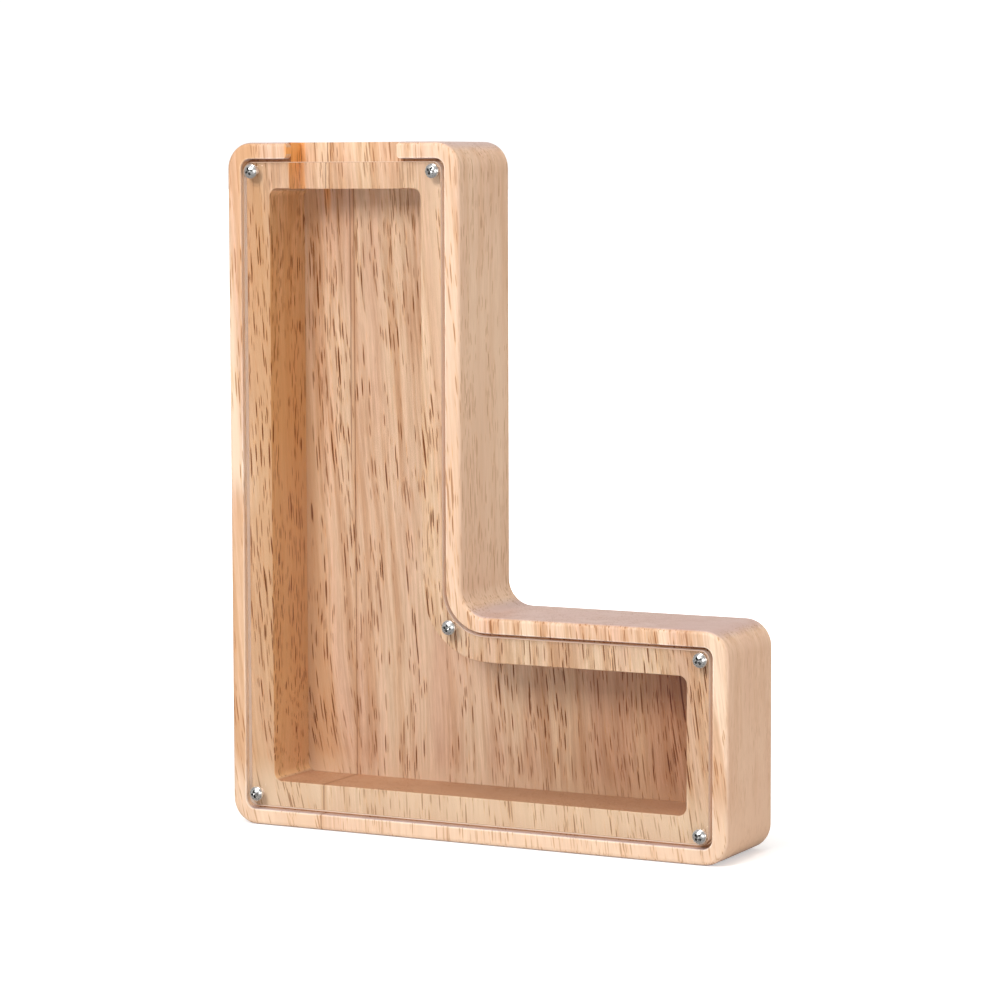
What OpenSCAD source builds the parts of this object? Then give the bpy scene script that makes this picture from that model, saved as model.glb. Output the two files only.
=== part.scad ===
// L-shaped wooden money box with a clear front panel held by six small screws.
// The body is milled from a slab of two boards glued edge to edge. Coins go in
// through a slot in the top face, and come out when the front panel is taken off.
// Frame: +Z up, the clear front faces -Y, the foot of the L points to +X, and the
// origin is the middle of the footprint, on the face the box stands on.

/* [Overall size] */
// Height of the upright arm
height = 210; // [180:1:260]
// Length of the foot, which is the overall width
width = 167; // [150:1:220]
// Thickness from front to back
depth = 33; // [30:1:45]
// Width of the upright arm
arm_w = 80; // [72:1:90]
// Height of the foot
foot_h = 69; // [62:1:80]

/* [Wooden body] */
// Radius of the outside corners
corner_r = 8; // [5:0.5:9]
// Radius of the inside corner between arm and foot
elbow_r = 8; // [4:0.5:12]
// Width of the wooden rim around the front panel
rim = 5; // [4:0.5:6]
// Thickness of the outer walls
wall = 14; // [13:0.5:16]
// Thickness of the wood behind the money space
back_t = 9; // [6:0.5:12]
// Radius the cutter leaves in the corners of the money space
cutter_r = 2.5; // [1.5:0.5:5]
// Distance of the glue line from the left side
glue_x = 31.5; // [30:0.5:34]

/* [Coin slot] */
// Length of the slot along the top face
slot_len = 38; // [28:0.5:40]
// Clear gap behind the panel
slot_gap = 6; // [3:0.5:8]
// Radius on the cut ends of the rim
slot_r = 1.5; // [1:0.1:2]

/* [Front panel] */
// Thickness of the clear sheet
panel_t = 3; // [2:0.5:4]
// Gap between the sheet and the rim
panel_gap = 0.9; // [0.4:0.1:1]

/* [Screws] */
// Distance of the screws from the outer faces
screw_inset = 8.7; // [8.6:0.1:9]
// Head diameter
head_d = 4.5; // [4:0.1:5]
// Head height
head_h = 1.7; // [1.2:0.1:2.2]
// Thread outside diameter
thread_d = 2.6; // [2:0.1:2.9]
// Length under the head
screw_len = 12; // [8:0.5:16]

/* [Hidden] */
$fn = 96;
over = 1;
tip_len = 2;
bore_gap = 0.05;
panel_hole_d = thread_d + 0.5;
recess_w = 0.7;
recess_len = 2.5;
recess_deep = 1;
panel_in = rim + panel_gap;
slot_x = (arm_w - slot_len) / 2;
slot_deep = panel_t + slot_gap;
space_deep = depth - back_t;
elbow_reach = (elbow_r + screw_inset) / sqrt(2);
bore_deep = screw_len - panel_t + over;

// Screw places, measured from the left side and the underside of the box.
PLACES = [
    [screw_inset, height - screw_inset],
    [arm_w - screw_inset, height - screw_inset],
    [arm_w + elbow_r - elbow_reach, foot_h + elbow_r - elbow_reach],
    [width - screw_inset, foot_h - screw_inset],
    [width - screw_inset, screw_inset],
    [screw_inset, screw_inset + 1]
];
// How far each screw ends up turned when it is tight.
TURNS = [20, 65, 80, 35, 50, 10];

// A rectangle from corner to corner with rounded corners.
module round_rect(x0, z0, x1, z1, r) {
    for (x = [x0 + r, x1 - r], z = [z0 + r, z1 - r])
        translate([x, z]) circle(r);
    translate([x0 + r, z0]) square([x1 - x0 - 2 * r, z1 - z0]);
    translate([x0, z0 + r]) square([x1 - x0, z1 - z0 - 2 * r]);
}

// The L outline pulled in by a distance, every side parallel to the outside.
module outline(inset, r) {
    reach = elbow_r + inset;
    round_rect(inset, inset, arm_w - inset, height - inset, r);
    round_rect(inset, inset, width - inset, foot_h - inset, r);
    translate([arm_w - inset, foot_h - inset]) difference() {
        translate([-r, -r]) square(reach + r);
        translate([reach, reach]) circle(reach);
    }
}

// Stands an outline up and gives it a thickness, between two depths behind the front.
module slab(front, back) {
    translate([-width / 2, back - depth / 2, 0])
        rotate([90, 0, 0]) linear_extrude(back - front) children();
}

// The strip of rim cut away over the coin slot, less the rounded rim ends beside it.
module rim_gap() {
    low = height - rim;
    tongue = 4 * slot_r;
    difference() {
        translate([slot_x - slot_r, low - slot_r])
            square([slot_len + 2 * slot_r, rim + slot_r + over]);
        translate([slot_x - tongue, low]) round_rect(0, 0, tongue, rim, slot_r);
        translate([slot_x + slot_len, low]) round_rect(0, 0, tongue, rim, slot_r);
    }
}

module slab_milled() {
    difference() {
        slab(0, depth) outline(0, corner_r);
        slab(-over, panel_t) outline(rim, corner_r - rim);
        slab(-over, space_deep) outline(wall, cutter_r);
        slab(-over, slot_deep) translate([slot_x, height - 2 * wall])
            square([slot_len, 3 * wall]);
        slab(-over, panel_t) rim_gap();
        for (p = PLACES) slab(panel_t - over, panel_t + bore_deep)
            translate(p) circle(d = thread_d + 2 * bore_gap);
    }
}

module half(x0, x1) {
    intersection() {
        slab_milled();
        translate([x0 - width / 2, -depth, -over])
            cube([x1 - x0, 2 * depth, height + 2 * over]);
    }
}

module board_left() {
    color("burlywood") half(-over, glue_x);
}

module board_right() {
    color("tan") half(glue_x, width + over);
}

module front_panel() {
    color("lightcyan", 0.4) difference() {
        slab(0, panel_t) outline(panel_in, corner_r - rim);
        for (p = PLACES) slab(-over, panel_t + over)
            translate(p) circle(d = panel_hole_d);
    }
}

// One screw along +Z: point at the bottom, underside of the head at zero.
module screw() {
    rise = head_h * 0.45;
    dome_r = (pow(head_d / 2, 2) + pow(head_h - rise, 2)) / (2 * (head_h - rise));
    difference() {
        union() {
            cylinder(d = head_d, h = rise);
            intersection() {
                translate([0, 0, rise]) cylinder(d = head_d, h = head_h);
                translate([0, 0, head_h - dome_r]) sphere(dome_r);
            }
        }
        for (a = [0, 90]) rotate(a) translate([-recess_len / 2, -recess_w / 2, head_h - recess_deep])
            cube([recess_len, recess_w, head_h]);
    }
    translate([0, 0, tip_len - screw_len]) cylinder(d = thread_d, h = screw_len - tip_len);
    translate([0, 0, -screw_len]) cylinder(d1 = 0.4, d2 = thread_d, h = tip_len);
}

module screw_at(i) {
    color("silver")
        translate([PLACES[i][0] - width / 2, -depth / 2, PLACES[i][1]])
            rotate([90, 0, 0]) rotate(TURNS[i]) screw();
}

module screw_arm_left() { screw_at(0); }
module screw_arm_right() { screw_at(1); }
module screw_elbow() { screw_at(2); }
module screw_foot_top() { screw_at(3); }
module screw_foot_low() { screw_at(4); }
module screw_corner_low() { screw_at(5); }

board_left();
board_right();
front_panel();
screw_arm_left();
screw_arm_right();
screw_elbow();
screw_foot_top();
screw_foot_low();
screw_corner_low();
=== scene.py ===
import math

import bmesh
import bpy
from mathutils import Matrix, Quaternion, Vector


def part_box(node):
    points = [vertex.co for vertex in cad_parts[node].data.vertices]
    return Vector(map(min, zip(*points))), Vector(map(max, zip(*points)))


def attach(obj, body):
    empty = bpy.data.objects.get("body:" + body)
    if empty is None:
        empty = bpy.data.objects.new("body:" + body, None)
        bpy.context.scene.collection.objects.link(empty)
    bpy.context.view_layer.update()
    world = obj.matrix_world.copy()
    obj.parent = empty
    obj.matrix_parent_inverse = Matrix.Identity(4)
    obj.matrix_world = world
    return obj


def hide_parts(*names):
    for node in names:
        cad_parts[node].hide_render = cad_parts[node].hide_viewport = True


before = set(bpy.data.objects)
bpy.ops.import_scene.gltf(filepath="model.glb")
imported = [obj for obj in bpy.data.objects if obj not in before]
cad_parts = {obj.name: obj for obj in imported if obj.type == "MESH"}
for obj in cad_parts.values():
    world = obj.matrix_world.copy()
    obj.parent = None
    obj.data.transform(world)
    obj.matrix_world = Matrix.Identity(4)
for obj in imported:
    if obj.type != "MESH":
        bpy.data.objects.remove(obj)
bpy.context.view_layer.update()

MM = 0.001

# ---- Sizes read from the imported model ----
left_lo, left_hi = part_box("board_left")
right_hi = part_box("board_right")[1]
panel_lo, panel_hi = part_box("front_panel")
LEFT, RIGHT, GLUE = left_lo.x, right_hi.x, left_hi.x
FRONT, BACK = left_lo.y, left_hi.y
BASE, TOP = left_lo.z, left_hi.z
SHEET = panel_hi.y - panel_lo.y
PANEL_INSET = panel_lo.x - LEFT

SCREWS = (
    "screw_arm_left", "screw_arm_right", "screw_elbow",
    "screw_foot_top", "screw_foot_low", "screw_corner_low",
)
# How far each screw ended up turned, in degrees.
TURNS = (20, 65, 80, 35, 50, 10)

# ---- Sizes of the woodwork ----
ARM_W = 80 * MM
FOOT_H = 69 * MM
CORNER_R = 8 * MM
ELBOW_R = 8 * MM
RIM = 5 * MM
WALL = 14 * MM
BACK_T = 9 * MM
CUTTER_R = 2.5 * MM
SLOT_LEN = 38 * MM
SLOT_GAP = 6 * MM
SLOT_X = LEFT + (ARM_W - SLOT_LEN) / 2
BORE_R = 1.35 * MM
BORE_DEEP = 10 * MM
BORE_STEPS = 32
FRONT_ROUND = 1.4 * MM
BACK_ROUND = 1.0 * MM
SMALL_ROUND = 0.5 * MM
SLOT_ROUND = 1.5 * MM
SHARPEST_R = 0.2 * MM
LEDGE_Y = FRONT + SHEET
FLOOR_Y = BACK - BACK_T

ARC_STEPS = 12
ROUND_STEPS = 5
# The middle of a small quarter round lies this share of its radius inside both faces.
MID_ROUND = 0.3
# How far a cutter reaches past what it cuts.
OVER = 2 * MM
# Places closer than SAME count as one, and vertices closer than WELD are joined.
SAME = 0.01 * MM
WELD = 0.002 * MM
# The gap round the sheet is narrower than GAP_WIDTH, and lies no further in than GAP_IN.
GAP_WIDTH = 1.2 * MM
GAP_IN = RIM + 1.5 * MM

# ---- The clear sheet ----
SHEET_R = CORNER_R - RIM
SHEET_EASE = 0.2 * MM
SHEET_AIR = 0.05 * MM
SHEET_HOLE_R = 1.55 * MM
# A face whose normal has less than this along Y belongs to the sheet's edge.
SHEET_FLAT = 0.97

# ---- The screws ----
HEAD_R = 2.25 * MM
DOME_R = 3.17 * MM
DOME_AT = (0.3 * MM, 0.8 * MM, 1.2 * MM, 1.5 * MM, 1.75 * MM)
# The rounded shoulder leaves the dome at one radius, has its corner as high as the dome is at
# another, and ends on the side of the head.
SHOULDER_R = 1.9 * MM
SHOULDER_CORNER_R = 2.2 * MM
SHOULDER_FOOT = 0.5 * MM
SHOULDER_STEPS = 6
# The small bevel under the head, and how far the neck stands out past the thread.
BEVEL_H, BEVEL_IN = 0.12 * MM, 0.1 * MM
NECK_OUT = 0.05 * MM
# A wing pair of the cross recess at three levels: (height above the head's top, length, width).
WING = (
    (0.4 * MM, 3.5 * MM, 0.82 * MM),
    (-0.75 * MM, 1.6 * MM, 0.52 * MM),
    (-1.1 * MM, 0.5 * MM, 0.42 * MM),
)
# The recess's faces lie inside this radius, above this height, and turned away from straight up.
RECESS_R = 1.7 * MM
RECESS_FLOOR = 0.3 * MM
RECESS_TURN = 0.80
# The thread: its core as a share of its crest, half the ridge's width as a share of the pitch, and
# how much steeper than a plain triangle the ridge is before its top is cut flat.
THREAD_R = 1.3 * MM
CORE_SHARE = 0.7
RIDGE_HALF = 0.36
RIDGE_FLAT = 1.15
PITCH = 0.95 * MM
ROWS_PER_TURN = 8
SCREW_LEN = 12 * MM
TIP_R = 0.2 * MM
TIP_TAPER = 0.55
SCREW_STEPS = 48

# ---- Colours of the wood ----
CREAM = (0.775, 0.555, 0.38)
PINK = (0.69, 0.435, 0.293)
TAN = (0.57, 0.315, 0.165)
WARM = (0.57, 0.30, 0.14)
# PALE is partly the left rim's paler wood and partly a painted highlight of its rounded edges.
PALE = (0.78, 0.60, 0.42)
ORANGE = (0.74, 0.31, 0.08)
PORE = (0.155, 0.04, 0.008)
SIDE_EVEN = (0.72, 0.475, 0.315)
FOOT_EVEN = (0.70, 0.44, 0.292)
GLUE_WARM = (0.55, 0.28, 0.12)
GLUE_DARK = (0.24, 0.10, 0.045)
# Multipliers: for fine streaks and fibres, the stain round a pore, a paler, bluer painted sheen on the
# fronts, and end grain.
STREAK_DARK, STREAK_LIGHT = (0.83, 0.78, 0.73), (1.09, 1.11, 1.13)
FIBRE_DARK, FIBRE_LIGHT = (0.88, 0.86, 0.84), (1.08, 1.08, 1.08)
STAIN = (0.95, 0.80, 0.62)
FRONT_SHEEN = (1.0, 1.03, 1.09)
END = (0.74, 0.78, 1.0)
# Multipliers that paint light and shade on the money space: painted warm bounce light on its side walls
# and painted shade on its top and bottom walls, and on its floor painted shade in the arm and in the
# foot, a painted lighter strip beside the left wall, and painted shade at the foot's end.
SIDE_WALL_BOUNCE_LIGHT = (1.21, 1.16, 0.90)
LOW_WALL_SHADE = (0.93, 0.70, 0.44)
ARM_FLOOR_SHADE = (0.93, 0.91, 0.92)
FOOT_FLOOR_SHADE = (0.75, 0.65, 0.57)
BY_WALL_LIGHT = (1.14, 1.17, 1.14)
SHADE_TINT = (0.80, 0.60, 0.42)
# And painted light and shade for the narrow faces round the sheet: the rebate's upright walls painted
# lighter as painted light, the gap above and below the sheet painted darker as painted shadow, and the
# rim's inner edge painted lighter as a painted highlight.
NARROW_LIGHT_AND_SHADE = (
    ("rebate_wall", (1.08, 1.20, 1.32)),
    ("sheet_gap", (0.52, 0.37, 0.28)),
    ("inner_edge", (1.10, 1.22, 1.36)),
)

# ---- Patterns of the wood, in millimetres ----
# The grain's slow wander: repeats per mm in x, y and z, and how far it goes.
WANDER_SCALE = (0.03, 0.03, 0.011)
WANDER = 6.0
# Noises as (repeats per mm across the grain, along it, detail, roughness).
TONE_BANDS = (0.07, 0.008, 2.0, 0.5)
GROWTH_BANDS = (0.26, 0.009, 3.0, 0.6)
STREAKS = (1.1, 0.028, 3.0, 0.65)
FIBRES = (4.0, 0.22, 2.0, 0.6)
CROWDING = (0.13, 0.006, 1.0, 0.5)
# Layers of pores: size across, length, radius in cells, share kept in sparse and crowded bands,
# darkness.
PORES = (
    (0.60, 7.5, 0.28, 0.05, 0.75, 0.8),
    (0.84, 12.0, 0.265, 0.10, 0.90, 1.0),
    (1.04, 19.0, 0.255, 0.05, 0.85, 1.0),
    (2.0, 44.0, 0.16, 0.0, 0.70, 1.0),
)
# How much more crowded the pores are towards the foot, and on the left board's milled floor.
FOOT_CROWD, LEFT_FLOOR_CROWD = 0.10, 0.08
# A dash fades out at its edge, and the stain round it reaches further, as shares of the radius.
DASH_INSIDE, STAIN_OUTSIDE, STAIN_INSIDE = 0.82, 1.6, 0.9
# How strongly the layers show: growth bands, streaks, fibres and streaks of colour.
GROWTH_SHARE, STREAK_SHARE, FIBRE_SHARE, STRIPE_SHARE = 0.80, 0.9, 0.7, 0.85
# How even the outer sides are, how much more at the foot's end, and how even end grain is.
SIDE_SHARE, FOOT_SHARE_MORE, END_SHARE = 0.5, 0.15, 0.7
# How much of the pores is lost on the outer sides and end grain, how much more at the foot's end,
# and along the top and the bottom. Then how much is left on the sanded fronts.
PORES_LOST, PORES_LOST_MORE, PORES_LOST_ENDS = 0.6, 0.27, 0.4
PORES_LEFT_SANDED = 0.6
# Streaks of colour: (place across, width, colour, strength, from height, to height). The last row of each
# board is painted light along the bottom, thrown up by the table, and the first left row is partly a
# painted highlight on the left rim.
LEFT_STRIPES = (
    # Partly the rim's paler wood and partly a painted highlight on the left rim.
    (-82.0, 5.5, PALE, 0.9, 105, 230),
    (-82.0, 15.0, WARM, 0.6, 12, 100),
    (-70.5, 7.0, WARM, 0.85, -10, 230),
    (-55.9, 1.6, ORANGE, 0.85, 190, 230),
    # Painted light along the bottom, thrown up by the table.
    (-60.0, 60.0, CREAM, 0.85, -10, 17),
)
RIGHT_STRIPES = (
    (-4.0, 7.0, CREAM, 0.55, 60, 230),
    (-16.0, 3.0, WARM, 0.35, 60, 190),
    (78.0, 9.0, CREAM, 0.2, -10, 80),
    # Painted light along the bottom, thrown up by the table.
    (20.0, 120.0, CREAM, 0.85, -10, 17),
)
STRIPE_ENDS = 6
# How far each board's pattern is moved across, so that the boards differ.
LEFT_SHIFT, RIGHT_SHIFT = 0.0, 371.0
GLUE_X = GLUE / MM
FRONT_Y = FRONT / MM
LEFT_WALL_X = (LEFT + WALL) / MM
# The check: a thin dark line this far to the left of the glue line, and how far it wanders.
CHECK_OFF, CHECK_WANDER = 1.3, 2.5
# The lean: how far each board's grain runs sideways for each mm up, and the height it starts from.
LEFT_LEAN, RIGHT_LEAN, LEAN_Z = 0.06, 0.07, 105.0
# The left board's grain also curves below BEND_Z, and the right board's leans more towards its end.
BEND_Z, BEND = 60.0, -0.0015
MORE_LEAN, MORE_LEAN_X, MORE_LEAN_Z = 0.07, (5.0, 70.0), 20.0
# Where a change starts and where it is complete.
SANDED_AND_SHEEN_Y = (FRONT_Y + 1.6, FRONT_Y + 0.4)
LEFT_FLOOR_X = (GLUE_X + 4.0, GLUE_X - 6.0)
BY_WALL_X = (LEFT_WALL_X + 15.0, LEFT_WALL_X + 2.0)
FOOT_END_X = (40.0, 70.0)
FOOT_FLOOR_X = (-15.0, 35.0)
FOOT_SHADE_X, FOOT_SHADE_Z = (25.0, 62.0), (25.0, 55.0)
CROWDED_X = (0.0, 45.0)
CHECK_Z = (95.0, 125.0)
FAINT_LOW_Z, FAINT_HIGH_Z = (24.0, 15.0), (186.0, 195.0)

# ---- Looks of the sheet and the screws ----
ACRYLIC = (0.985, 0.99, 0.985)
ACRYLIC_FOR_LIGHT = (0.94, 0.945, 0.94)
ACRYLIC_IOR = 1.49
# The cut edge's warm tones are painted light, the lit wood seen through the edge; below and where eased
# it is painted darker as painted shade.
EDGE_DARK, EDGE_LIGHT = (0.74, 0.58, 0.48), (0.85, 0.70, 0.60)
EDGE_SHADE_BELOW = (0.30, 0.17, 0.10)
EDGE_EASED_SHADE = (0.47, 0.29, 0.19)
NICKEL_DARK, NICKEL_LIGHT = (0.76, 0.755, 0.74), (0.92, 0.91, 0.89)
# The cross recess is painted near black as painted shade.
RECESS_SHADE_DARK, RECESS_SHADE_LIGHT = (0.05, 0.05, 0.05), (0.17, 0.17, 0.165)
# Marks as noises: repeats per mm in x, y and z.
WIPE_MARKS = (0.05, 0.05, 0.3)
SAW_MARKS = (1.5, 0.4, 1.5)
PLATE_CLOUDS = (0.9, 0.9, 0.9)
PLATE_MARKS = (6.0, 6.0, 6.0)

# ---- The studio ----
WHITE = (1.0, 1.0, 1.0)
SKY = (1.0, 0.99, 0.98)
SKY_FRONT, SKY_BEHIND = 0.28, 0.88
SEEN_WHITE = 1.05
FLOOR_SIZE = 30
FLOOR_BELOW = 0.02 * MM
FLOOR_GREY = (0.85, 0.85, 0.85)
FLOOR_IN_GLOSS = (0.20, 0.20, 0.20)
FLOOR_GLOW = 0.40
GLOW_FROM, GLOW_FULL = 0.12, 0.7
# Square lamps as (name, azimuth, elevation, width in metres, power in watts).
LAMPS = (
    ("key", -13, 31, 0.5, 13.8),
    ("top", 20, 76, 0.6, 8),
    ("side", 88, 6, 0.5, 3.6),
    ("low", 34, 2, 0.5, 3.2),
)
LAMP_DISTANCE = 1.4

# ---- The camera, from the middle of the box ----
MIDDLE = Vector(((LEFT + RIGHT) / 2, (FRONT + BACK) / 2, (BASE + TOP) / 2))
CAMERA_AIM = (1.50 * MM, 0, -2.49 * MM)
CAMERA_DISTANCE = 1070.85 * MM
CAMERA_AZIMUTH = 27.12
CAMERA_ELEVATION = 5.325
CAMERA_ROLL = -0.168
LENS = 127.98
SENSOR = 36
CLIP_NEAR, CLIP_FAR = 0.05, 60


# ---- Mesh helpers ----
def arc(cx, cz, r, start, end):
    """Points on a circle in the XZ plane, from one angle to another, in degrees."""
    angles = [math.radians(start + (end - start) * i / ARC_STEPS) for i in range(ARC_STEPS + 1)]
    return [(cx + r * math.cos(a), cz + r * math.sin(a)) for a in angles]


def l_outline(inset, r):
    """The L outline pulled in by inset, with corner radius r. Every call has as many points."""
    x0, x1, xm = LEFT + inset, RIGHT - inset, LEFT + ARM_W - inset
    z0, z1, zm = BASE + inset, TOP - inset, BASE + FOOT_H - inset
    reach = ELBOW_R + inset
    return (
        arc(x0 + r, z0 + r, r, 180, 270)
        + arc(x1 - r, z0 + r, r, 270, 360)
        + arc(x1 - r, zm - r, r, 0, 90)
        + arc(xm + reach, zm + reach, reach, 270, 180)
        + arc(xm - r, z1 - r, r, 0, 90)
        + arc(x0 + r, z1 - r, r, 90, 180)
    )


def quarter(inset0, y0, inset1, y1, steps=ROUND_STEPS, out_first=True):
    """A rounded edge as (inset, y) pairs from one end to the other.
    out_first: the curve leaves along the inset direction."""
    pairs = []
    for i in range(1, steps):
        a = math.pi / 2 * i / steps
        s, c = math.sin(a), 1 - math.cos(a)
        u, v = (s, c) if out_first else (c, s)
        pairs.append((inset0 + (inset1 - inset0) * u, y0 + (y1 - y0) * v))
    return pairs + [(inset1, y1)]


def skin(bm, loops):
    """Faces from each loop of vertices to the next."""
    for a, b in zip(loops, loops[1:]):
        for i in range(len(a)):
            bm.faces.new((a[i - 1], a[i], b[i], b[i - 1]))


def close_up(bm, loops):
    """Faces from loop to loop and over both ends, all turned outwards."""
    skin(bm, loops)
    bm.faces.new(loops[0])
    bm.faces.new(loops[-1])
    bmesh.ops.recalc_face_normals(bm, faces=bm.faces)


def placed(name, data):
    """A new object in the scene, with a mesh, a lamp or a camera."""
    ob = bpy.data.objects.new(name, data)
    bpy.context.scene.collection.objects.link(ob)
    return ob


def made(name, bm):
    """A new object in the scene from a bmesh."""
    me = bpy.data.meshes.new(name)
    bm.to_mesh(me)
    bm.free()
    return placed(name, me)


def lofted(name, rings):
    """A closed solid through rings of (inset, corner radius, y), capped at both ends."""
    bm = bmesh.new()
    close_up(bm, [[bm.verts.new((x, y, z)) for x, z in l_outline(inset, r)] for inset, r, y in rings])
    return made(name, bm)


def cut(ob, cutter):
    """Takes the cutter out of ob, and deletes the cutter."""
    mod = ob.modifiers.new("cut", "BOOLEAN")
    mod.operation = "DIFFERENCE"
    mod.solver = "EXACT"
    mod.object = cutter
    bpy.context.view_layer.update()
    dg = bpy.context.evaluated_depsgraph_get()
    me = bpy.data.meshes.new_from_object(ob.evaluated_get(dg))
    ob.modifiers.clear()
    old, ob.data = ob.data, me
    me.name = ob.name
    bpy.data.meshes.remove(old)
    bpy.data.objects.remove(cutter)


def smooth(ob, angle=32):
    """Smooth faces with sharp edges kept, and normals that leave the flat faces flat."""
    ob.data.shade_smooth()
    ob.data.set_sharp_from_angle(angle=math.radians(angle))
    mod = ob.modifiers.new("normals", "WEIGHTED_NORMAL")
    mod.keep_sharp = True
    mod.weight = 100


def near(a, b):
    return abs(a - b) < SAME


def screw_centre(name):
    """Where a screw's axis meets the front of the sheet."""
    lo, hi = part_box(name)
    return Vector(((lo.x + hi.x) / 2, panel_lo.y, (lo.z + hi.z) / 2))


# ---- The wooden body ----
def inner_r(inset):
    """The corner radius of the outer outline after it is pulled in."""
    return max(CORNER_R - inset, SHARPEST_R)


def body_rings():
    """The body from the middle of its back, round the outside, to the floor of the money space."""
    eased = MID_ROUND * SMALL_ROUND
    pairs = [(BACK_ROUND, BACK)]
    pairs += quarter(BACK_ROUND, BACK, 0, BACK - BACK_ROUND)
    pairs += [(0, FRONT + FRONT_ROUND)]
    pairs += quarter(0, FRONT + FRONT_ROUND, FRONT_ROUND, FRONT, out_first=False)
    pairs += [(RIM - SMALL_ROUND, FRONT)]
    pairs += quarter(RIM - SMALL_ROUND, FRONT, RIM, FRONT + SMALL_ROUND, 2)
    pairs += [(RIM, LEDGE_Y)]
    rings = [(i, inner_r(i), y) for i, y in pairs]
    rings += [
        (PANEL_INSET, inner_r(PANEL_INSET), LEDGE_Y),
        (WALL - SMALL_ROUND, CUTTER_R + SMALL_ROUND, LEDGE_Y),
        (WALL - eased, CUTTER_R + eased, LEDGE_Y + eased),
        (WALL, CUTTER_R, LEDGE_Y + SMALL_ROUND),
        (WALL, CUTTER_R, FLOOR_Y),
    ]
    return rings


def slot_cutter():
    """The block that mills the slot, from the front, through the rim and the top wall."""
    bm = bmesh.new()
    bmesh.ops.create_cube(bm, size=1)
    size = Vector((SLOT_LEN, SHEET + SLOT_GAP + OVER, 1.5 * WALL + OVER))
    middle = Vector((SLOT_X + SLOT_LEN / 2, FRONT - OVER + size.y / 2, TOP + OVER - size.z / 2))
    place = Matrix.Translation(middle) @ Matrix.Diagonal(size.to_4d())
    bmesh.ops.transform(bm, matrix=place, verts=bm.verts)
    return made("slot_cutter", bm)


def tab_cutter(x, side):
    """Cuts the end of a rim tab round. side is where the slot lies: 1 to the right, -1 to the left."""
    bm = bmesh.new()
    r, low, middle = SLOT_ROUND, TOP - RIM, x - side * SLOT_ROUND
    face_on = 0 if side > 0 else 180
    outline = [(middle, TOP + OVER)] + arc(middle, TOP - r, r, 90, face_on)
    outline += arc(middle, low + r, r, face_on, -90 if side > 0 else 270)
    outline += [(middle, low - r / 2), (x + side * r, low - r / 2), (x + side * r, TOP + OVER)]
    close_up(bm, [[bm.verts.new((px, y, pz)) for px, pz in outline] for y in (FRONT - OVER, LEDGE_Y)])
    return made("tab_cutter", bm)


def bore_cutter(radius, y0, y1):
    """A plug along Y at each screw."""
    bm = bmesh.new()
    for name in SCREWS:
        c = screw_centre(name)
        turn = Matrix.Rotation(math.pi / 2, 4, "X")
        place = Matrix.Translation((c.x, (y0 + y1) / 2, c.z)) @ turn
        bmesh.ops.create_cone(bm, cap_ends=True, segments=BORE_STEPS, radius1=radius, radius2=radius,
                              depth=y1 - y0, matrix=place)
    return made("bore_cutter", bm)


def merge_close(ob):
    """Joins vertices that the cuts left almost on top of each other."""
    bm = bmesh.new()
    bm.from_mesh(ob.data)
    bmesh.ops.remove_doubles(bm, verts=bm.verts, dist=WELD)
    bm.to_mesh(ob.data)
    bm.free()


def depth_inside(c):
    """How far inside the L's outline a point lies."""
    arm = min(c.x - LEFT, LEFT + ARM_W - c.x, c.z - BASE, TOP - c.z)
    foot = min(c.x - LEFT, RIGHT - c.x, c.z - BASE, BASE + FOOT_H - c.z)
    return max(arm, foot)


def marks_of(me, face):
    """Which faces the wood material treats on their own: the walls and the floor of the money space,
    the upright walls of the sheet's rebate, the gap above and below the sheet, and the rim's inner
    edge."""
    c, turn = face.center, -face.normal.y
    upright, facing = abs(turn) < 0.5, turn > 0.5
    inset = depth_inside(c)
    level = min(c.z - BASE, TOP - c.z, abs(BASE + FOOT_H - c.z))
    width = face.area / max((me.vertices[a].co - me.vertices[b].co).length for a, b in face.edge_keys)
    below_ledge = c.y > LEDGE_Y + 0.1 * MM
    at_rim_edge = abs(c.y - FRONT) < SMALL_ROUND and inset > RIM - 0.6 * MM
    return {
        "money_space_wall": upright and inset > RIM + MM and below_ledge and not near(c.x, GLUE),
        "money_space_floor": facing and near(c.y, FLOOR_Y),
        "rebate_wall": upright and near(inset, RIM) and c.y < LEDGE_Y and abs(face.normal.x) > 0.5,
        "sheet_gap": facing and near(c.y, LEDGE_Y) and level < GAP_IN and width < GAP_WIDTH,
        "inner_edge": 0.2 < turn < 0.98 and at_rim_edge,
    }


def mark_faces(ob):
    """Writes each mark as a face attribute, 1 where it holds and 0 elsewhere."""
    rows = [marks_of(ob.data, face) for face in ob.data.polygons]
    for name in rows[0]:
        attribute = ob.data.attributes.new(name, "FLOAT", "FACE")
        attribute.data.foreach_set("value", [float(row[name]) for row in rows])


def half(whole, name, node, keep_left):
    """One board: the body on one side of the glue line, closed with a flat glued face."""
    bm = bmesh.new()
    bm.from_mesh(whole.data)
    side = 1 if keep_left else -1
    cut_geom = bmesh.ops.bisect_plane(
        bm, geom=list(bm.verts) + list(bm.edges) + list(bm.faces), dist=1e-7,
        plane_co=(GLUE, 0, 0), plane_no=(side, 0, 0), clear_outer=True,
    )["geom_cut"]
    rim = [e for e in cut_geom if isinstance(e, bmesh.types.BMEdge) and e.is_boundary]
    bmesh.ops.contextual_create(bm, geom=rim)
    bmesh.ops.recalc_face_normals(bm, faces=bm.faces)
    ob = made(name, bm)
    mark_faces(ob)
    smooth(ob)
    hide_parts(node)
    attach(ob, "wooden_body")
    return ob


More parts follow.
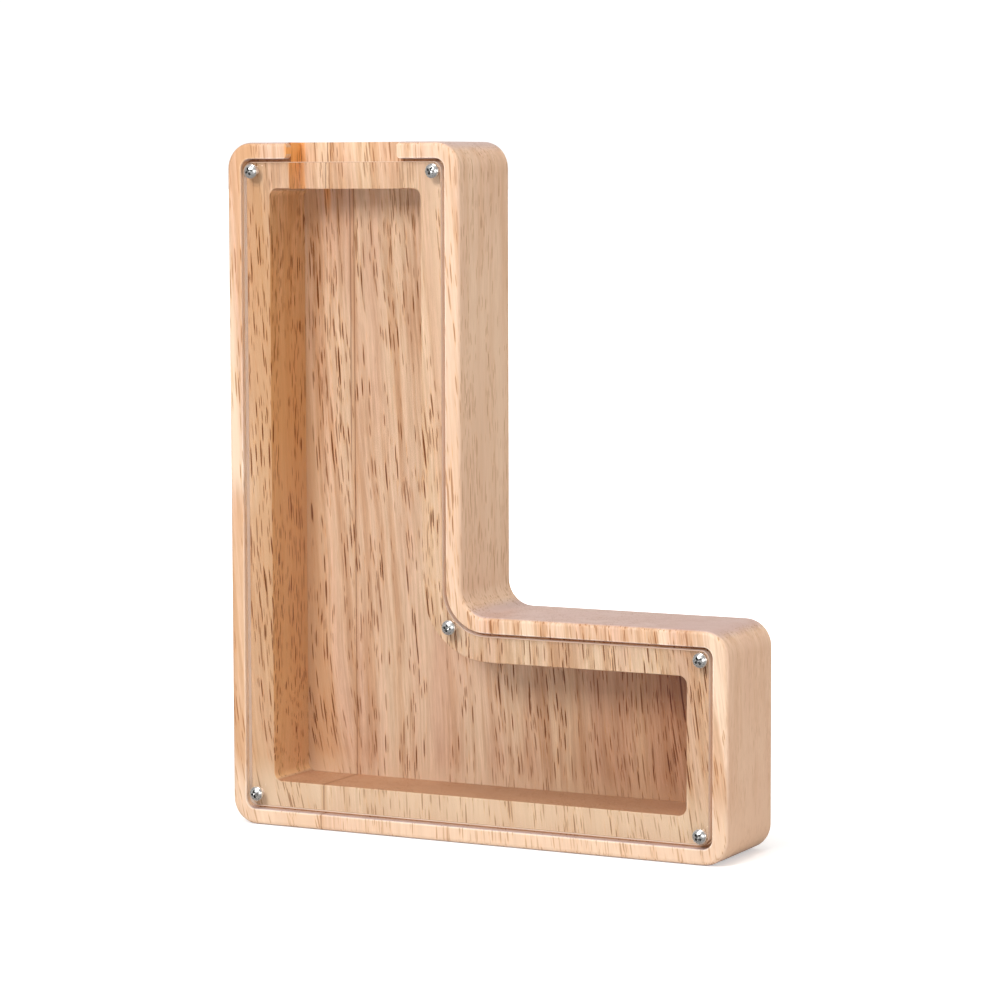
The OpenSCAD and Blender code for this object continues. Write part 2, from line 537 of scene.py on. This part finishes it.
body = lofted("body", body_rings())
cut(body, slot_cutter())
cut(body, tab_cutter(SLOT_X, 1))
cut(body, tab_cutter(SLOT_X + SLOT_LEN, -1))
cut(body, bore_cutter(BORE_R, LEDGE_Y - OVER, LEDGE_Y + BORE_DEEP))
merge_close(body)
board_left = half(body, "left_board", "board_left", True)
board_right = half(body, "right_board", "board_right", False)
bpy.data.objects.remove(body)


# ---- The clear sheet ----
def sheet_rings():
    """The sheet from its back to its front, with eased edges."""
    y0, y1, e = panel_hi.y - SHEET_AIR, panel_lo.y, SHEET_EASE
    outer, eased, middle = PANEL_INSET, PANEL_INSET + e, MID_ROUND * e
    pairs = [(eased, y0), (outer + middle, y0 - middle), (outer, y0 - e)]
    pairs += [(outer, y1 + e), (outer + middle, y1 + middle), (eased, y1)]
    return [(i, SHEET_R - (i - outer), y) for i, y in pairs]


clear_sheet = lofted("clear_sheet", sheet_rings())
cut(clear_sheet, bore_cutter(SHEET_HOLE_R, panel_lo.y - OVER, panel_hi.y + OVER))
smooth(clear_sheet)
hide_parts("front_panel")
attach(clear_sheet, "panel")


# ---- The screws ----
def head_profile(head_h):
    """(radius, height) pairs of a pan head, from near the middle of its dome to the shank."""
    def dome(r):
        return head_h - DOME_R + math.sqrt(DOME_R**2 - r**2)

    pairs = [(r, dome(r)) for r in DOME_AT]
    start = (SHOULDER_R, dome(SHOULDER_R))
    corner = (HEAD_R, dome(SHOULDER_CORNER_R))
    end = (HEAD_R, SHOULDER_FOOT)
    for i in range(SHOULDER_STEPS + 1):
        t = i / SHOULDER_STEPS
        pairs.append(tuple(
            (1 - t) ** 2 * a + 2 * t * (1 - t) * b + t * t * c for a, b, c in zip(start, corner, end)
        ))
    return pairs + [(HEAD_R, BEVEL_H), (HEAD_R - BEVEL_IN, 0.0), (THREAD_R + NECK_OUT, 0.0)]


def thread_radius(angle, z):
    """The radius at an angle and a height below the head: a right-handed thread that ends in a point."""
    crest = min(THREAD_R, TIP_R + (z + SCREW_LEN) * TIP_TAPER)
    core = crest * CORE_SHARE
    t = (z / PITCH - angle / (2 * math.pi)) % 1
    ridge = max(0, 1 - abs(t - 0.5) / RIDGE_HALF)
    return core + (crest - core) * min(1, ridge * RIDGE_FLAT)


def wing_cutter(head_h, turn):
    """One wing pair of the cross recess: a block that narrows downwards."""
    bm = bmesh.new()
    corners = ((1, 1), (-1, 1), (-1, -1), (1, -1))
    close_up(bm, [
        [bm.verts.new((sx * length / 2, sy * width / 2, head_h + rise)) for sx, sy in corners]
        for rise, length, width in WING
    ])
    bmesh.ops.rotate(bm, verts=bm.verts, matrix=Matrix.Rotation(math.radians(turn), 3, "Z"))
    return made("wing_cutter", bm)


def mark_recess(me):
    """A face attribute that is 1 inside the cross recess and 0 elsewhere."""
    recess = me.attributes.new("recess", "FLOAT", "FACE").data
    for face in me.polygons:
        c = face.center
        inside = c.z > RECESS_FLOOR and c.to_2d().length < RECESS_R
        recess[face.index].value = float(inside and face.normal.z < RECESS_TURN)


def screw_mesh(head_h):
    """One screw along Z with its head up: a pan head, a cross recess and a cut thread."""
    bm = bmesh.new()
    angles = [2 * math.pi * i / SCREW_STEPS for i in range(SCREW_STEPS)]
    loops = []
    for r, z in head_profile(head_h):
        loops.append([bm.verts.new((r * math.cos(a), r * math.sin(a), z)) for a in angles])
    rows = int(SCREW_LEN / PITCH * ROWS_PER_TURN)
    for k in range(1, rows + 1):
        z = -SCREW_LEN * k / rows
        loops.append([
            bm.verts.new((math.cos(a) * thread_radius(a, z), math.sin(a) * thread_radius(a, z), z))
            for a in angles
        ])
    skin(bm, loops)
    for loop, z in ((loops[0], head_h), (loops[-1], -SCREW_LEN)):
        tip = bm.verts.new((0, 0, z))
        for i in range(SCREW_STEPS):
            bm.faces.new((loop[i - 1], loop[i], tip))
    bmesh.ops.recalc_face_normals(bm, faces=bm.faces)
    ob = made("screw", bm)
    for turn in (0, 90):
        cut(ob, wing_cutter(head_h, turn))
    mark_recess(ob.data)
    return ob


head_height = panel_lo.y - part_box(SCREWS[0])[0].y
pattern = screw_mesh(head_height)
screws = []
for name, degrees in zip(SCREWS, TURNS):
    me = pattern.data.copy()
    me.transform(
        Matrix.Translation(screw_centre(name))
        @ Matrix.Rotation(math.pi / 2, 4, "X")
        @ Matrix.Rotation(math.radians(degrees), 4, "Z")
    )
    me.name = name + "_metal"
    screw = placed(name + "_metal", me)
    smooth(screw, angle=40)
    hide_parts(name)
    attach(screw, name)
    screws.append(screw)
bpy.data.objects.remove(pattern)


# ---- Materials ----
class Graph:
    """Short ways to add nodes to a material or a world, and to join them."""

    def __init__(self, owner):
        self.owner = owner
        owner.use_nodes = True
        self.tree = owner.node_tree
        self.tree.nodes.clear()

    def add(self, kind, inputs=(), **settings):
        node = self.tree.nodes.new("ShaderNode" + kind)
        for key, value in settings.items():
            setattr(node, key, value)
        for key, value in dict(inputs).items():
            self.put(node.inputs[key], value)
        return node

    def put(self, socket, value):
        """Joins a socket to another one, or sets its value. Colours come without their alpha."""
        if isinstance(value, bpy.types.NodeSocket):
            self.tree.links.new(value, socket)
        elif value is not None:
            socket.default_value = (*value, 1.0) if socket.type == "RGBA" else value

    def math(self, op, a, b=None, c=None):
        return self.add("Math", {0: a, 1: b, 2: c}, operation=op).outputs[0]

    def vec(self, op, a, b=None):
        key = 3 if op == "SCALE" else 1
        return self.add("VectorMath", {0: a, key: b}, operation=op).outputs[0]

    def split(self, vector):
        return self.add("SeparateXYZ", {0: vector}).outputs

    def millimetres(self):
        """Where the point is on the object, in millimetres."""
        return self.vec("SCALE", self.add("TexCoord").outputs["Object"], 1 / MM)

    def turn(self):
        """The x, y and z of the direction in which the surface faces."""
        return self.split(self.add("TexCoord").outputs["Normal"])

    def mark(self, name):
        return self.add("Attribute", attribute_name=name).outputs["Fac"]

    def noise(self, vector, detail=2.0, roughness=0.5):
        inputs = {"Vector": vector, "Scale": 1.0, "Detail": detail, "Roughness": roughness}
        return self.add("TexNoise", inputs).outputs

    def remap(self, value, lo, hi, out_lo=0.0, out_hi=1.0):
        """A smooth step from out_lo to out_hi as the value goes from lo to hi."""
        inputs = {"Value": value, 1: lo, 2: hi, 3: out_lo, 4: out_hi}
        return self.add("MapRange", inputs, interpolation_type="SMOOTHSTEP").outputs[0]

    def mix(self, factor, a, b, blend="MIX"):
        return self.add("Mix", {0: factor, 6: a, 7: b}, data_type="RGBA", blend_type=blend).outputs[2]

    def tinted(self, share, base, tint):
        """The base multiplied by a tint where share is 1, and left alone where it is 0."""
        return self.mix(share, base, self.mix(1.0, base, tint, "MULTIPLY"))

    def bump(self, height, distance, strength):
        inputs = {"Height": height, "Distance": distance, "Strength": strength}
        return self.add("Bump", inputs).outputs[0]

    def finish(self, shader, kind="OutputMaterial"):
        self.add(kind, {"Surface": shader})
        return self.owner


class Wood(Graph):
    """Pale open-pored hardwood with its grain along Z. lean(g) gives the grain's sideways run, and
    shift moves the pattern across. Places are in millimetres."""

    def __init__(self, name, lean, shift):
        super().__init__(bpy.data.materials.new(name))
        p = self.millimetres()
        self.x, self.y, self.z = self.split(p)
        slow = self.noise(self.vec("MULTIPLY", p, WANDER_SCALE))["Color"]
        self.wander = self.split(self.vec("SUBTRACT", slow, (0.5, 0.5, 0.5)))
        self.straight = lean(self)
        across = self.math("ADD", self.straight, self.math("MULTIPLY", self.wander[0], WANDER))
        self.across = self.math("ADD", across, shift)
        self.inwards = self.math("ADD", self.y, self.math("MULTIPLY", self.wander[1], WANDER))
        self.streak, self.fibre = self.pattern(*STREAKS), self.pattern(*FIBRES)
        # What kind of face this is: how far it faces sideways, and 0 or 1 for the rest.
        turn = self.turn()
        self.sideways = self.math("ABSOLUTE", turn[0])
        self.end_grain = self.remap(self.math("ABSOLUTE", turn[2]), 0.6, 0.95)
        self.wall, self.floor = self.mark("money_space_wall"), self.mark("money_space_floor")
        self.not_wall = self.math("SUBTRACT", 1.0, self.wall)
        self.foot_end = self.remap(self.x, *FOOT_END_X)

    def along(self, across, up):
        """The point scaled across the grain and along it."""
        return self.add("CombineXYZ", {
            0: self.math("MULTIPLY", self.across, across),
            1: self.math("MULTIPLY", self.inwards, across),
            2: self.math("MULTIPLY", self.z, up),
        }).outputs[0]

    def pattern(self, across, up, detail, roughness):
        return self.noise(self.along(across, up), detail, roughness)["Fac"]

    def ground(self):
        """The ground colour: wide tone bands, narrower growth bands, fine streaks and fibres."""
        tone = self.remap(self.pattern(*TONE_BANDS), 0.38, 0.64)
        base = self.mix(tone, PINK, CREAM)
        growth = self.remap(self.pattern(*GROWTH_BANDS), 0.42, 0.66, 0.0, GROWTH_SHARE)
        base = self.mix(growth, base, TAN)
        streak = self.remap(self.streak, 0.28, 0.72)
        shade = self.mix(streak, STREAK_DARK, STREAK_LIGHT)
        base = self.mix(STREAK_SHARE, base, shade, "MULTIPLY")
        fibre = self.remap(self.fibre, 0.25, 0.75)
        shade = self.mix(fibre, FIBRE_DARK, FIBRE_LIGHT)
        return self.mix(FIBRE_SHARE, base, shade, "MULTIPLY")

    def striped(self, base, middle, width, tint, strength, low, high):
        """A soft-edged streak of colour along the grain, from one height to another. Some of these
        streaks are painted light: along the bottom, and in part on the left rim.
        """
        off = self.math("ABSOLUTE", self.math("SUBTRACT", self.straight, middle))
        across = self.remap(off, width, 0.35 * width)
        above = self.remap(self.z, low - STRIPE_ENDS, low + STRIPE_ENDS)
        below = self.remap(self.z, high + STRIPE_ENDS, high - STRIPE_ENDS)
        inside = self.math("MULTIPLY", across, self.math("MULTIPLY", above, below))
        amount = self.math("MULTIPLY", inside, strength)
        return self.mix(amount, base, self.mix(STRIPE_SHARE, base, tint))

    def evened(self, base):
        """More even outer sides and end grain, most of all at the end of the foot."""
        outer = self.math("MULTIPLY", self.remap(self.sideways, 0.6, 0.95), self.not_wall)
        share = self.math("MULTIPLY_ADD", self.foot_end, FOOT_SHARE_MORE, SIDE_SHARE)
        end_share = self.math("MULTIPLY", self.end_grain, END_SHARE)
        even = self.math("MAXIMUM", self.math("MULTIPLY", outer, share), end_share)
        tone = self.mix(self.foot_end, SIDE_EVEN, FOOT_EVEN)
        return self.mix(even, base, tone)

    def glued(self, base):
        """The glue line, the colour drawn into the wood beside it, and a thin check next to it."""
        seam = self.math("ABSOLUTE", self.math("SUBTRACT", self.x, GLUE_X))
        base = self.mix(self.remap(seam, 1.6, 0.2, 0.0, 0.45), base, GLUE_WARM)
        base = self.mix(self.remap(seam, 0.28, 0.08, 0.0, 0.75), base, GLUE_DARK)
        beside = self.math("SUBTRACT", self.x, GLUE_X - CHECK_OFF)
        beside = self.math("ADD", beside, self.math("MULTIPLY", self.wander[1], CHECK_WANDER))
        check = self.remap(self.math("ABSOLUTE", beside), 0.30, 0.12)
        check = self.math("MULTIPLY", check, self.remap(self.z, *CHECK_Z, 0.0, 0.7))
        return self.mix(check, base, GLUE_DARK)

    def highest(self, values):
        top = values[0]
        for value in values[1:]:
            top = self.math("MAXIMUM", top, value)
        return top

    def pores(self):
        """Long dashes, closer together in some bands than in others: the dashes and the stain round
        them, each as its depth."""
        crowd = self.math("ADD", self.pattern(*CROWDING), self.remap(self.x, *CROWDED_X, 0.0, FOOT_CROWD))
        left_floor = self.remap(self.x, *LEFT_FLOOR_X, 0.0, LEFT_FLOOR_CROWD)
        crowd = self.math("ADD", crowd, self.math("MULTIPLY", self.floor, left_floor))
        dashes, stains = [], []
        for size, length, radius, sparse, crowded, dark in PORES:
            inputs = {"Vector": self.along(1 / size, 1 / length), "Scale": 1.0, "Randomness": 1.0}
            cell = self.add("TexVoronoi", inputs).outputs
            pick = self.split(cell["Color"])
            share = self.remap(crowd, 0.36, 0.66, sparse, crowded)
            keep = self.remap(self.math("SUBTRACT", share, pick[0]), 0.0, 0.05)
            depth = self.math("MULTIPLY", keep, self.remap(pick[1], 0.0, 1.0, 0.5 * dark, dark))
            off = cell["Distance"]
            dash = self.remap(off, radius, radius * DASH_INSIDE)
            stain = self.remap(off, radius * STAIN_OUTSIDE, radius * STAIN_INSIDE)
            dashes.append(self.math("MULTIPLY", dash, depth))
            stains.append(self.math("MULTIPLY", stain, depth))
        shown = self.pores_shown()
        return [self.math("MULTIPLY", self.highest(layers), shown) for layers in (dashes, stains)]

    def pores_shown(self):
        """How much of the pores shows: less on the outer sides and on end grain, least of all at the
        end of the foot, and less along the top and the bottom."""
        sides = self.math("MULTIPLY", self.remap(self.sideways, 0.2, 0.8), self.not_wall)
        lost = self.math("MULTIPLY_ADD", self.foot_end, PORES_LOST_MORE, PORES_LOST)
        lost = self.math("MULTIPLY", self.math("MAXIMUM", sides, self.end_grain), lost)
        low = self.remap(self.z, *FAINT_LOW_Z, 0.0, PORES_LOST_ENDS)
        high = self.remap(self.z, *FAINT_HIGH_Z, 0.0, PORES_LOST_ENDS)
        lost = self.math("MAXIMUM", lost, self.math("MAXIMUM", low, high))
        return self.math("SUBTRACT", 1.0, lost)

    def painted_light_and_shade(self, surface):
        """Painted light and shade on the money space's walls and floor, and on the narrow faces round the
        sheet.
        """
        # Painted warm bounce light on the side walls, and painted shade on the top and bottom walls.
        sideways = self.remap(self.sideways, 0.3, 0.7)
        tint = self.mix(sideways, LOW_WALL_SHADE, SIDE_WALL_BOUNCE_LIGHT)
        surface = self.tinted(self.wall, surface, tint)
        # Painted shade on the floor, deeper in the foot, a painted lighter strip beside the left wall,
        # and painted shade at the foot's end.
        in_foot = self.remap(self.x, *FOOT_FLOOR_X)
        tint = self.mix(in_foot, ARM_FLOOR_SHADE, FOOT_FLOOR_SHADE)
        by_wall = self.remap(self.x, *BY_WALL_X)
        tint = self.tinted(by_wall, tint, BY_WALL_LIGHT)
        shade = self.remap(self.z, *FOOT_SHADE_Z, 0.45, 1.0)
        shade = self.math("MULTIPLY", self.remap(self.x, *FOOT_SHADE_X), shade)
        tint = self.tinted(shade, tint, SHADE_TINT)
        surface = self.tinted(self.floor, surface, tint)
        # Painted light on the rebate walls, painted shadow in the gap round the sheet, and a painted
        # highlight on the rim's inner edge.
        for name, light_and_shade_tint in NARROW_LIGHT_AND_SHADE:
            surface = self.tinted(self.mark(name), surface, light_and_shade_tint)
        return surface


def wood_material(name, lean, stripes, shift):
    """The wood of one board, with its own lean, streaks of colour (some of them painted light) and place
    in the pattern.
    """
    g = Wood(name, lean, shift)
    base = g.ground()
    for stripe in stripes:
        base = g.striped(base, *stripe)
    base = g.glued(g.evened(base))
    pore, stain = g.pores()
    sanded_and_sheen = g.remap(g.y, *SANDED_AND_SHEEN_Y)
    pore = g.math("MULTIPLY", pore, g.remap(sanded_and_sheen, 0.0, 1.0, 1.0, PORES_LEFT_SANDED))
    # Painted sheen: the fronts are made paler and bluer.
    base = g.tinted(sanded_and_sheen, base, FRONT_SHEEN)
    base = g.tinted(stain, base, STAIN)
    surface = g.mix(pore, base, PORE)
    surface = g.tinted(g.end_grain, surface, END)
    height = g.math("SUBTRACT", g.math("MULTIPLY", g.fibre, 0.35), pore)
    roughness = g.remap(g.streak, 0.2, 0.8, 0.42, 0.52)
    return g.finish(g.add("BsdfPrincipled", {
        "Base Color": g.painted_light_and_shade(surface),
        "Roughness": g.math("ADD", roughness, g.math("MULTIPLY", pore, 0.2)),
        "Normal": g.bump(height, 0.12 * MM, 0.45),
        "IOR": 1.45, "Specular IOR Level": g.remap(pore, 0.0, 1.0, 0.38, 0.05),
    }).outputs[0])


def lean_left(g):
    """Nearly upright, and curving outwards near the foot of the board."""
    low = g.math("MAXIMUM", g.math("SUBTRACT", BEND_Z, g.z), 0.0)
    bend = g.math("MULTIPLY", g.math("MULTIPLY", low, low), BEND)
    slant = g.math("MULTIPLY", g.math("SUBTRACT", g.z, LEAN_Z), LEFT_LEAN)
    return g.math("ADD", g.math("ADD", g.x, slant), bend)


def lean_right(g):
    """Nearly upright by the glue line, and leaning more towards the end of the foot."""
    more = g.remap(g.x, *MORE_LEAN_X, 0.0, MORE_LEAN)
    slant = g.math("MULTIPLY", g.math("SUBTRACT", g.z, LEAN_Z), RIGHT_LEAN)
    extra = g.math("MULTIPLY", more, g.math("SUBTRACT", g.z, MORE_LEAN_Z))
    return g.math("ADD", g.math("ADD", g.x, slant), extra)


def lets_light_in(g, shader):
    """Lamps and soft light pass straight through the shader, so that what is behind it is lit."""
    clear = g.add("BsdfTransparent", {"Color": ACRYLIC_FOR_LIGHT}).outputs[0]
    path = g.add("LightPath").outputs
    lamps = g.add("MixShader", {0: path["Is Shadow Ray"], 1: shader, 2: clear}).outputs[0]
    return g.add("MixShader", {0: path["Is Diffuse Ray"], 1: lamps, 2: clear}).outputs[0]


def clear_material():
    """Clear acrylic with faint wipe marks in its gloss."""
    g = Graph(bpy.data.materials.new("clear_acrylic"))
    marks = g.noise(g.vec("MULTIPLY", g.millimetres(), WIPE_MARKS), 4.0, 0.6)["Fac"]
    glass = g.add("BsdfPrincipled", {
        "Base Color": ACRYLIC, "Roughness": g.remap(marks, 0.3, 0.8, 0.012, 0.05),
        "IOR": ACRYLIC_IOR, "Transmission Weight": 1.0, "Specular IOR Level": 0.04,
        "Normal": g.bump(marks, 0.02 * MM, 0.05),
    }).outputs[0]
    return g.finish(lets_light_in(g, glass))


def cut_edge_material():
    """The sawn edge of the sheet, a little frosted, in warm tones that paint the lit wood seen through
    it, with painted shade underneath and where it is eased.
    """
    g = Graph(bpy.data.materials.new("cut_edge"))
    marks = g.noise(g.vec("MULTIPLY", g.millimetres(), SAW_MARKS), 3.0, 0.6)["Fac"]
    turn = g.turn()
    tint = g.mix(marks, EDGE_DARK, EDGE_LIGHT)
    # Painted shade on the faces below and on the eased faces.
    tint = g.mix(g.remap(turn[2], -0.2, -0.6), tint, EDGE_SHADE_BELOW)
    eased = g.remap(g.math("ABSOLUTE", turn[1]), 0.15, 0.5)
    edge = g.add("BsdfPrincipled", {
        "Base Color": g.mix(eased, tint, EDGE_EASED_SHADE),
        "Roughness": g.remap(marks, 0.3, 0.7, 0.42, 0.58),
        "IOR": ACRYLIC_IOR, "Specular IOR Level": 0.2, "Normal": g.bump(marks, 0.03 * MM, 0.2),
    }).outputs[0]
    return g.finish(lets_light_in(g, edge))


def metal_material():
    """Bright nickel plate with fine marks, painted near black in the cross recess as painted shade."""
    g = Graph(bpy.data.materials.new("nickel"))
    p = g.millimetres()
    cloud = g.noise(g.vec("MULTIPLY", p, PLATE_CLOUDS), 3.0)["Fac"]
    fine = g.noise(g.vec("MULTIPLY", p, PLATE_MARKS), 3.0, 0.7)["Fac"]
    tint = g.mix(g.remap(cloud, 0.3, 0.7), NICKEL_DARK, NICKEL_LIGHT)
    recess_shade = g.mix(cloud, RECESS_SHADE_DARK, RECESS_SHADE_LIGHT)
    return g.finish(g.add("BsdfPrincipled", {
        "Base Color": g.mix(g.mark("recess"), tint, recess_shade), "Metallic": 0.92,
        "Roughness": g.remap(fine, 0.3, 0.7, 0.18, 0.32), "Normal": g.bump(fine, 0.02 * MM, 0.25),
    }).outputs[0])


def dress(ob, *materials):
    """Gives an object these materials and no others."""
    ob.data.materials.clear()
    for material in materials:
        ob.data.materials.append(material)


dress(board_left, wood_material("wood_left", lean_left, LEFT_STRIPES, LEFT_SHIFT))
dress(board_right, wood_material("wood_right", lean_right, RIGHT_STRIPES, RIGHT_SHIFT))
dress(clear_sheet, clear_material(), cut_edge_material())
for face in clear_sheet.data.polygons:
    face.material_index = int(abs(face.normal.y) < SHEET_FLAT)
nickel = metal_material()
for screw in screws:
    dress(screw, nickel)


# ---- Floor, light and camera ----
def seen_factor(g):
    """1 for what the camera sees straight on or through the clear sheet, and 0 for every other ray."""
    path = g.add("LightPath").outputs
    bounces = g.math("ADD", path["Diffuse Depth"], path["Glossy Depth"])
    through = g.math("MULTIPLY", path["Is Transmission Ray"], g.math("LESS_THAN", bounces, 0.5))
    return g.math("MAXIMUM", path["Is Camera Ray"], through)


def made_floor():
    """A table that the camera sees white. It is plain for other rays, and dim in reflections."""
    bm = bmesh.new()
    bmesh.ops.create_grid(bm, x_segments=1, y_segments=1, size=FLOOR_SIZE)
    floor = made("floor", bm)
    floor.location.z = BASE - FLOOR_BELOW
    g = Graph(bpy.data.materials.new("white_floor"))
    plain = g.add("BsdfDiffuse", {"Color": FLOOR_GREY}).outputs[0]
    dim = g.add("BsdfDiffuse", {"Color": FLOOR_IN_GLOSS}).outputs[0]
    place = g.add("TexCoord").outputs["Object"]
    away = g.add("VectorMath", {0: place}, operation="LENGTH").outputs["Value"]
    strength = g.remap(away, GLOW_FROM, GLOW_FULL, FLOOR_GLOW, 1.0)
    glow = g.add("Emission", {"Color": WHITE, "Strength": strength}).outputs[0]
    lit = g.add("AddShader", {0: plain, 1: glow}).outputs[0]
    path = g.add("LightPath").outputs
    bounced = g.add("MixShader", {0: path["Is Glossy Ray"], 1: plain, 2: dim}).outputs[0]
    seen = g.add("MixShader", {0: seen_factor(g), 1: bounced, 2: lit}).outputs[0]
    dress(floor, g.finish(seen))


def made_world():
    """White where the camera sees it. For the light it gives it is softer, and brighter behind."""
    g = Graph(bpy.data.worlds.new("studio"))
    back = g.split(g.add("TexCoord").outputs["Generated"])[1]
    strength = g.remap(back, 0.0, 0.8, SKY_FRONT, SKY_BEHIND)
    soft = g.add("Background", {"Color": SKY, "Strength": strength}).outputs[0]
    white = g.add("Background", {"Color": WHITE, "Strength": SEEN_WHITE}).outputs[0]
    seen = g.add("MixShader", {0: seen_factor(g), 1: soft, 2: white}).outputs[0]
    bpy.context.scene.world = g.finish(seen, "OutputWorld")


def way_out(azimuth, elevation):
    """The direction from the object's middle. Azimuth 0 is to the front, and positive to its right."""
    a, e = math.radians(azimuth), math.radians(elevation)
    return Vector((math.sin(a) * math.cos(e), -math.cos(a) * math.cos(e), math.sin(e)))


def made_lamp(name, azimuth, elevation, size, power):
    """A square soft lamp that looks at the middle of the object."""
    way = way_out(azimuth, elevation)
    data = bpy.data.lights.new(name, "AREA")
    data.shape = "SQUARE"
    data.size = size
    data.energy = power
    lamp = placed(name, data)
    lamp.location = MIDDLE + way * LAMP_DISTANCE
    lamp.rotation_mode = "QUATERNION"
    lamp.rotation_quaternion = (-way).to_track_quat("-Z", "Y")


def made_camera():
    """A long lens, to the right of the object and a little above it."""
    data = bpy.data.cameras.new("camera")
    data.lens = LENS
    data.sensor_width = SENSOR
    data.clip_start, data.clip_end = CLIP_NEAR, CLIP_FAR
    camera = placed("camera", data)
    way = way_out(CAMERA_AZIMUTH, CAMERA_ELEVATION)
    camera.location = MIDDLE + Vector(CAMERA_AIM) + way * CAMERA_DISTANCE
    camera.rotation_mode = "QUATERNION"
    level = (-way).to_track_quat("-Z", "Y")
    camera.rotation_quaternion = level @ Quaternion((0, 0, 1), math.radians(CAMERA_ROLL))
    bpy.context.scene.camera = camera


made_floor()
made_world()
for lamp_values in LAMPS:
    made_lamp(*lamp_values)
made_camera()
bpy.context.scene.view_settings.view_transform = "Standard"
